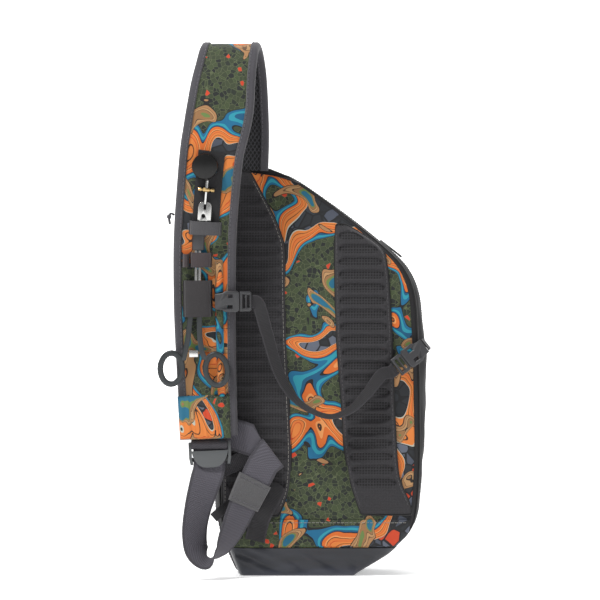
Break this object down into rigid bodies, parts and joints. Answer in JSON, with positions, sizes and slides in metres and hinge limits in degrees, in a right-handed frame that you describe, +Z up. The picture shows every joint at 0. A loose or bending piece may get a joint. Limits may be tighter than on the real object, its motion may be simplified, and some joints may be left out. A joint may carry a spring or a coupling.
{
  "type": "fishing tackle sling bag",
  "caption": "One-shoulder padded tackle bag standing on its base, with printed cloth, back pads, a strap with docked tools, buckled webbing and a bottle pocket.",
  "frame": {"origin": "centre of the flat base face that the bag stands on", "axes": "+Z up, -Y towards the wearer's back (the padded side), +X to the right seen from that side"},
  "size_m": [0.3275, 0.2148, 0.6406],
  "materials": {
    "printed_cloth": "woven polyester with a flowing all-over print",
    "pad_cloth": "matt perforated grid cloth over foam",
    "gusset_cloth": "matt dark woven cloth",
    "binding_tape": "matt folded binding tape with a stitch line",
    "spacer_mesh": "black open spacer mesh",
    "base_cloth": "smooth coated cloth with a low sheen",
    "webbing_tape": "ribbed nylon webbing",
    "elastic_tape": "matt ribbed elastic",
    "grey_plastic": "moulded grey acetal",
    "black_plastic": "satin black moulding",
    "coated_steel": "satin dark grey coating",
    "polished_steel": "polished",
    "brass_clip": "worn satin"
  },
  "bodies": {
    "root": {"base_panel": "base_cloth", "back_panel": "printed_cloth", "gusset": "gusset_cloth", "main_zipper": "gusset_cloth", "front_panel": "printed_cloth", "zip_slider": "grey_plastic", "bottle_sleeve": "printed_cloth", "pocket_binding": "binding_tape", "left_back_pad": "pad_cloth", "right_back_pad": "pad_cloth", "lower_back_band": "printed_cloth", "strap_face": "printed_cloth", "strap_lining": "spacer_mesh", "strap_binding_left": "binding_tape", "strap_binding_right": "binding_tape", "tool_dock_panel": "gusset_cloth", "dock_keeper_band": "elastic_tape", "elastic_loop_left": "elastic_tape", "elastic_loop_right": "elastic_tape", "tool_sleeve": "pad_cloth", "slider_rail": "printed_cloth", "strap_end_tab": "printed_cloth", "strap_zip_pull": "binding_tape", "retractor_reel": "black_plastic", "reel_clip": "brass_clip", "nippers": "polished_steel", "forceps_left_half": "coated_steel", "forceps_right_half": "coated_steel", "forceps_ratchet": "polished_steel", "forceps_tip_cover": "grey_plastic", "main_webbing": "webbing_tape", "webbing_keeper": "elastic_tape", "anchor_webbing": "webbing_tape", "side_elastic": "elastic_tape", "side_strap": "webbing_tape", "webbing_roll": "webbing_tape", "ladder_lock": "grey_plastic", "rail_buckle": "grey_plastic", "rail_adjuster": "grey_plastic", "side_adjuster": "grey_plastic", "side_buckle": "grey_plastic", "side_anchor_loop": "webbing_tape", "stabiliser_webbing": "webbing_tape"}
  },
  "joints": []
}
